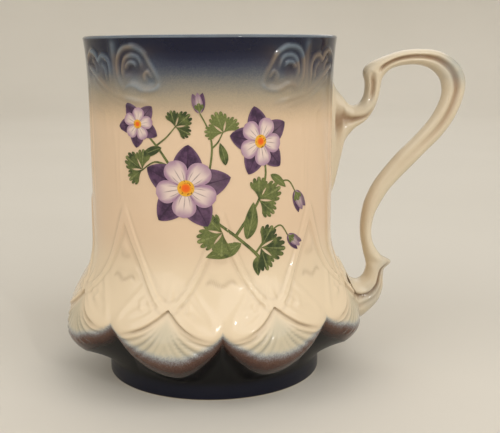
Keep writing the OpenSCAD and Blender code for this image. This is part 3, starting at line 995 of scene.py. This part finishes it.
# The bar from its upper seat to its foot: outer edge and inner edge as shares of reach
# and rise, and share of width
handle_pair_shares = [
    (-0.04, 0.87, -0.03, 0.53, 0.9), (0.03, 0.862, 0.03, 0.54, 1.0),
    (0.088, 0.84, 0.072, 0.616, 1.1), (0.126, 0.818, 0.106, 0.683, 1.05),
    (0.169, 0.81, 0.174, 0.726, 1.0), (0.218, 0.821, 0.262, 0.756, 1.0),
    (0.247, 0.848, 0.324, 0.798, 1.0), (0.252, 0.885, 0.358, 0.846, 1.0),
    (0.237, 0.924, 0.373, 0.89, 1.05), (0.276, 0.952, 0.397, 0.913, 1.05),
    (0.368, 0.972, 0.446, 0.933, 1.05), (0.513, 0.994, 0.528, 0.944, 1.05),
    (0.659, 1.0, 0.634, 0.946, 1.05), (0.804, 0.991, 0.731, 0.933, 1.05),
    (0.925, 0.957, 0.804, 0.901, 1.05), (0.993, 0.908, 0.828, 0.861, 1.02),
    (0.995, 0.848, 0.819, 0.828, 1.0), (0.935, 0.769, 0.785, 0.79, 1.0),
    (0.838, 0.701, 0.729, 0.749, 0.98), (0.722, 0.646, 0.625, 0.695, 0.96),
    (0.625, 0.599, 0.518, 0.646, 0.95), (0.518, 0.548, 0.416, 0.591, 0.95),
    (0.438, 0.505, 0.334, 0.539, 0.95), (0.373, 0.455, 0.276, 0.483, 0.95),
    (0.341, 0.422, 0.249, 0.437, 0.95), (0.322, 0.379, 0.237, 0.383, 0.95),
    (0.324, 0.345, 0.242, 0.34, 0.95), (0.344, 0.313, 0.254, 0.31, 0.98),
    (0.397, 0.276, 0.266, 0.283, 1.0), (0.475, 0.251, 0.281, 0.257, 1.0),
    (0.426, 0.225, 0.288, 0.239, 1.1), (0.416, 0.195, 0.283, 0.221, 1.2),
    (0.416, 0.156, 0.262, 0.2, 1.35), (0.383, 0.11, 0.218, 0.187, 1.5),
    (0.31, 0.071, 0.169, 0.193, 1.65), (0.237, 0.045, 0.131, 0.209, 1.75),
    (0.174, 0.04, 0.097, 0.237, 1.8), (0.08, 0.055, 0.02, 0.25, 1.8),
]
# Channels in the handle's sides: row, place across (-1 inner edge, 1 outer edge), depth
# and half-width
handle_channels = [
    [(8.6, -0.30, 0.0, 0.20), (9.4, -0.12, 0.45, 0.20), (10.5, 0.05, 0.5, 0.24), (13.0, 0.08, 0.5, 0.26),
     (15.5, 0.05, 0.45, 0.28), (17.5, 0.0, 0.3, 0.3), (20.0, -0.1, 0.1, 0.3), (22.0, -0.1, 0.0, 0.3)],
    [(1.0, 0.30, 0.5, 0.22), (2.0, 0.36, 0.5, 0.2), (3.0, 0.2, 0.5, 0.2), (4.0, -0.1, 0.5, 0.2),
     (5.0, -0.5, 0.4, 0.2), (6.0, -0.8, 0.0, 0.2)],
    [(5.6, 0.3, 0.0, 0.25), (6.6, 0.15, 0.35, 0.28), (7.6, 0.1, 0.42, 0.28), (8.5, 0.15, 0.0, 0.25)],
    [(28.6, 0.75, 0.0, 0.12), (29.6, 0.55, 0.35, 0.13), (30.5, 0.37, 0.42, 0.12), (32.5, 0.1, 0.45, 0.11),
     (34.5, -0.16, 0.45, 0.1), (36.0, -0.62, 0.4, 0.09)],
    [(29.5, 0.9, 0.0, 0.1), (31.0, 0.72, 0.18, 0.12), (33.0, 0.45, 0.2, 0.1),
     (35.0, 0.25, 0.15, 0.1), (36.0, 0.2, 0.1, 0.1)],
]


def beside_wall(point):
    """The radius of each point, and of the body's outside next to it."""
    a = np.degrees(np.arctan2(point[:, 1], point[:, 0]))
    return np.hypot(point[:, 0], point[:, 1]), skin_radius(a, point[:, 2])


last_row = len(handle_pair_shares) - 1
ring_rows = np.arange(handle_steps * last_row + 1) / handle_steps
bm = bmesh.new()
bmesh.ops.create_grid(bm, x_segments=handle_sides, y_segments=len(ring_rows) - 1, size=1.0)
grid_u = np.array([v.co.x for v in bm.verts]) / 2 + 0.5
grid_v = np.array([v.co.y for v in bm.verts]) / 2 + 0.5
row_at = grid_v * last_row
turn = grid_u * 2 * math.pi
shares = curve_at(handle_pair_shares, row_at)
start = [waist_r, handle_foot_z]
reach_and_rise = [handle_reach, handle_rise]
outer_edge = start + shares[:, 0:2] * reach_and_rise
inner_edge = start + shares[:, 2:4] * reach_and_rise
across = np.cos(turn)
middle = (outer_edge + inner_edge) / 2
place = middle + (outer_edge - inner_edge) / 2 * across[:, None]
depth = np.zeros(len(row_at))
for channel in handle_channels:
    marks = np.array(channel)
    at, deep, wide = (np.interp(row_at, marks[:, 0], marks[:, k]) for k in (1, 2, 3))
    live = (row_at >= marks[0, 0]) & (row_at <= marks[-1, 0])
    depth = np.maximum(depth, live * deep * bump(across - at, wide))
half_width = handle_w / 2 * shares[:, 4] * np.sin(turn) * (1 - depth)
point = np.stack([place[:, 0], half_width, place[:, 1]], 1)
# Near the wall the slip that lutes the handle on makes a small fillet
point_r, wall_r = beside_wall(point)
fillet = fillet_share * np.exp(-np.clip(point_r - wall_r, 0, None) / fillet_reach)
centre = np.stack([middle[:, 0], np.zeros(len(row_at)), middle[:, 1]], 1)
spread = point - centre
spread[:, 0] *= 0.2
point = point + spread * fillet[:, None]
# What would pass through the wall stops inside it
point_r, wall_r = beside_wall(point)
point[:, :2] *= np.maximum((wall_r - wall * 0.4) / point_r, 1.0)[:, None]
groove = bm.verts.layers.float.new("groove")
for vertex, where, share in zip(bm.verts, point * MM, np.clip(depth / 0.45, 0, 1)):
    vertex.co = where
    vertex[groove] = share
bmesh.ops.remove_doubles(bm, verts=bm.verts[:], dist=1e-6)
bmesh.ops.holes_fill(bm, edges=[e for e in bm.edges if e.is_boundary], sides=0)
bmesh.ops.recalc_face_normals(bm, faces=bm.faces[:])
handle = new_object("scrolled_handle", bm)

handle_points = points_of(handle) / MM
# A breath of cobalt on the bends and at the foot of the handle: middle, size, share
handle_clouds = [
    (74.0, 91.0, 8.0, 0.5), (53.5, 29.5, 5.0, 0.35), (50.0, 20.0, 6.0, 0.4),
    (45.0, 12.0, 4.0, 0.45), (39.0, 85.0, 4.0, 0.4), (47.0, 80.0, 4.0, 0.3),
]
shade = np.zeros(len(handle_points))
for x0, z0, size, share in handle_clouds:
    gap = np.hypot(handle_points[:, 0] - x0, handle_points[:, 2] - z0)
    shade = np.maximum(shade, share * bump(gap, size))
add_layer(handle, "cobalt", shade)

handle_pale = linear(207, 193, 168)
handle_deep = linear(180, 154, 122)
handle_shade_brown = linear(138, 102, 70)
handle_tint = linear(136, 150, 154)
handle_glaze, tree, shader = new_glaze("glazed_porcelain_handle")
colour = glaze_colour(tree, handle_pale, handle_deep)
# Painted shade, warm brown, darkens the handle's channels
channel_shade = attribute(tree, "groove") * (noise(tree, 160.0, 2.0) * 0.7 + 0.5)
colour = blend_colours(tree, channel_shade.clamped() * 0.9, colour, handle_shade_brown)
amount = attribute(tree, "cobalt") * (noise(tree, 220.0, 3.0) * 0.8 + 0.6)
colour = blend_colours(tree, ease(tree, amount, 0.0, 1.0), colour, handle_tint)
tree.links.new(colour.socket, shader.inputs["Base Color"])
handle.data.materials.append(handle_glaze)
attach(handle, "root")
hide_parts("handle")

# The moustache guard: a pressed porcelain bridge, rounded along its edges and luted
# inside the mouth on the drinker's side, with a half-moon drinking slot.
guard_lo, guard_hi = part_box("moustache_guard")
guard_r = seat_r + 0.25
guard_reach = 23.0
slot_depth = 9.0
slot_w = 29.0
scallop_r = 15.0
scallop_depth = 6.5
guard_round = 1.1
tip_y = guard_reach - (seat_r - 0.1)
slot_end_y = -math.sqrt(guard_r**2 - slot_w**2 / 4)
slot_sag = slot_depth - seat_r - slot_end_y
slot_r = (slot_w**2 / 4 + slot_sag**2) / (2 * slot_sag)
slot_y = slot_depth - seat_r - slot_r
scallop_x = math.sqrt(scallop_depth * (2 * scallop_r - scallop_depth))
scallop_y = tip_y + scallop_r - scallop_depth
wing_x = 2 * scallop_x


def sweep(bm, start, centre, angle, steps):
    """Draws an arc from a vertex round a centre and returns its last vertex."""
    cent = (centre[0] * MM, centre[1] * MM, start.co.z)
    out = bmesh.ops.spin(bm, geom=[start], cent=cent, axis=(0, 0, 1), angle=angle, steps=steps)
    return next(v for v in out["geom_last"] if isinstance(v, bmesh.types.BMVert))


bm = bmesh.new()
first = bm.verts.new((0.0, tip_y * MM, guard_lo.z))
half_open = math.atan2(scallop_x, scallop_r - scallop_depth)
vertex = sweep(bm, first, (scallop_x, scallop_y), 2 * half_open, 28)
wall_x = math.sqrt(guard_r**2 - tip_y**2)
corner = bm.verts.new((wall_x * MM, tip_y * MM, guard_lo.z))
bm.edges.new((vertex, corner))
wall_turn = math.atan2(slot_end_y, slot_w / 2) - math.atan2(tip_y, wall_x)
vertex = sweep(bm, corner, (0, 0), wall_turn, 16)
slot_turn = 2 * math.atan2(slot_w / 2, slot_end_y - slot_y)
vertex = sweep(bm, vertex, (0, slot_y), slot_turn, 28)
vertex = sweep(bm, vertex, (0, 0), wall_turn, 16)
corner = bm.verts.new((-wing_x * MM, tip_y * MM, guard_lo.z))
bm.edges.new((vertex, corner))
sweep(bm, corner, (-scallop_x, scallop_y), 2 * half_open, 28)
bmesh.ops.remove_doubles(bm, verts=bm.verts[:], dist=2e-6)
bmesh.ops.contextual_create(bm, geom=bm.edges[:])
bmesh.ops.recalc_face_normals(bm, faces=bm.faces[:])
raised = bmesh.ops.extrude_face_region(bm, geom=bm.faces[:])
bmesh.ops.translate(bm, verts=[v for v in raised["geom"] if isinstance(v, bmesh.types.BMVert)],
                    vec=(0, 0, guard_hi.z - guard_lo.z))
rim_edges = [e for e in bm.edges if abs(e.verts[0].co.z - e.verts[1].co.z) < 1e-7]
bmesh.ops.bevel(bm, geom=rim_edges, offset=guard_round * MM, offset_type="OFFSET", segments=5,
                profile=0.5, affect="EDGES", material=-1, clamp_overlap=True)
bmesh.ops.triangulate(bm, faces=[f for f in bm.faces if len(f.verts) > 4])
bmesh.ops.recalc_face_normals(bm, faces=bm.faces[:])
guard = new_object("moustache_ledge", bm)
guard_glaze, tree, shader = new_glaze("glazed_porcelain_guard")
tree.links.new(glaze_colour(tree).socket, shader.inputs["Base Color"])
guard.data.materials.append(guard_glaze)
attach(guard, "root")
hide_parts("moustache_guard")

# The studio: a round pale sweep, with soft lights and one small bright one whose
# glints show the gloss of the glaze.
floor_half = 1.1
floor_ring = 0.5
sweep_r = 0.5
sweep_top = 1.7
turns = np.radians(np.arange(0, 91, 7.5))
bend = [(floor_half + sweep_r * math.sin(t), sweep_r * (1 - math.cos(t))) for t in turns]
outline = [(0.0, 0.0), (floor_ring, 0.0)] + bend + [(floor_half + sweep_r, sweep_top)]
backdrop = new_object("studio_sweep", turned(outline, 96))
paper, tree, shader = new_material("pale_paper", 0.8)
shader.inputs["Specular IOR Level"].default_value = 0.1
colour = blend_colours(tree, noise(tree, 6.0, 2.0), linear(206, 200, 188), linear(212, 206, 195))
tree.links.new(colour.socket, shader.inputs["Base Color"])
backdrop.data.materials.append(paper)

world = bpy.data.worlds.new("studio_world")
bpy.context.scene.world = world
world.use_nodes = True
background = world.node_tree.nodes["Background"]
background.inputs["Color"].default_value = (1.0, 1.0, 1.0, 1.0)
background.inputs["Strength"].default_value = 0.5


def lamp(name, place, size, power):
    """A soft white round lamp that faces the middle of the cup."""
    light = bpy.data.lights.new(name, "AREA")
    light.shape = "DISK"
    light.size = size
    light.energy = power
    made = placed(name, light)
    made.location = place
    middle = Vector((0.0, 0.0, body_h / 2 * MM))
    made.rotation_euler = (middle - Vector(place)).to_track_quat("-Z", "Y").to_euler()


lamp("key_softbox", (0.75, -0.95, 0.95), 1.7, 14.5)
lamp("fill_softbox", (-1.0, -0.7, 0.75), 1.4, 7.8)
lamp("back_softbox", (0.2, 0.9, 0.9), 1.4, 4.4)
lamp("glint", (0.36, -0.84, 0.5), 0.035, 1.1)

# The camera stands just below the rim and looks slightly down at the front: its place
# was fitted to the circles of the rim and the foot.
camera_turn = math.radians(-3.0)
camera_reach = 0.264
camera_height = 0.0966
camera_pitch = 0.1891
camera_yaw = 0.04283
camera_roll = -0.00504
sensor_w = 36.0
focal_share = 882.2 / 500.0
heading = camera_yaw - camera_turn
level_way = Vector((math.sin(heading), math.cos(heading), 0.0))
forward = level_way * math.cos(camera_pitch) - Vector((0.0, 0.0, math.sin(camera_pitch)))
right = Vector((math.cos(heading), -math.sin(heading), 0.0))
up = right.cross(forward)
turned_right = right * math.cos(camera_roll) + up * math.sin(camera_roll)
turned_up = up * math.cos(camera_roll) - right * math.sin(camera_roll)
eye = Vector((math.sin(camera_turn) * camera_reach, -math.cos(camera_turn) * camera_reach, camera_height))
camera_data = bpy.data.cameras.new("photo_camera")
camera_data.sensor_width = sensor_w
camera_data.lens = sensor_w * focal_share
camera_data.clip_start = 0.01
camera = placed("photo_camera", camera_data)
axes = Matrix((turned_right, turned_up, -forward)).transposed().to_4x4()
camera.matrix_world = Matrix.Translation(eye) @ axes
bpy.context.scene.camera = camera
bpy.context.scene.view_settings.view_transform = "Standard"
